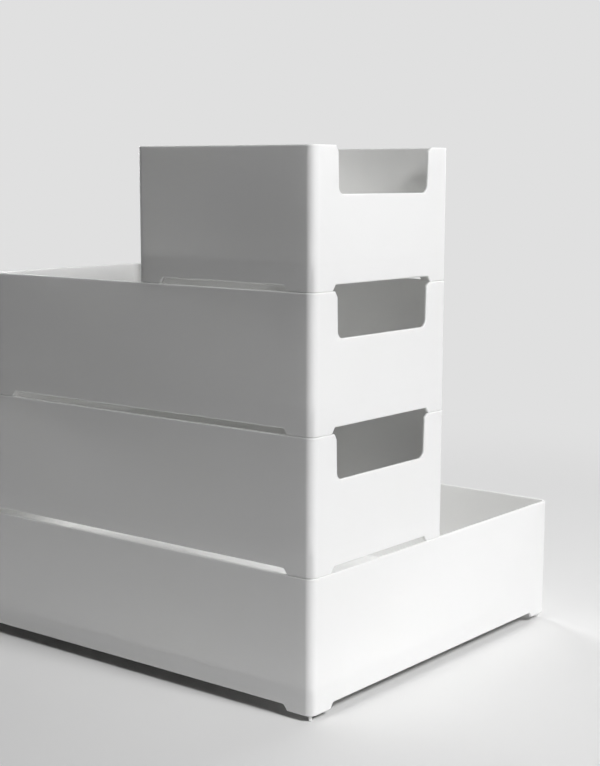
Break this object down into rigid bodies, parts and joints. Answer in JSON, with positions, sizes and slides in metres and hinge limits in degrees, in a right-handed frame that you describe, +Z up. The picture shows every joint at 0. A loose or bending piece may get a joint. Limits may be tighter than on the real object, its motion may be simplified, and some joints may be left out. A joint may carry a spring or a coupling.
{
  "type": "drawer organizer tray",
  "caption": "Stack of modular white drawer organizer trays: a wide open tray with a long, a medium and a short handled bin standing on its left half, each lifting off the one below.",
  "frame": {"origin": "middle of the footprint, on the surface that the lowest tray's lugs stand on", "axes": "+Z up; -Y is the front, where the bins have their handle cutouts; +X to the right seen from the front, so that the bins stand on the -X half"},
  "size_m": [0.3, 0.45, 0.364],
  "materials": {
    "white_plastic": "fine matte moulded"
  },
  "bodies": {
    "wide": {"wide_tray": "white_plastic"},
    "long": {"long_bin": "white_plastic"},
    "medium": {"medium_bin": "white_plastic"},
    "short": {"short_bin": "white_plastic"}
  },
  "joints": [
    {"name": "long_bin_lift", "type": "slide", "parent": "wide", "child": "long", "axis": [0, 0, 1], "range_m": [0, 0.1]},
    {"name": "medium_bin_lift", "type": "slide", "parent": "long", "child": "medium", "axis": [0, 0, 1], "range_m": [0, 0.1]},
    {"name": "short_bin_lift", "type": "slide", "parent": "medium", "child": "short", "axis": [0, 0, 1], "range_m": [0, 0.1]}
  ]
}
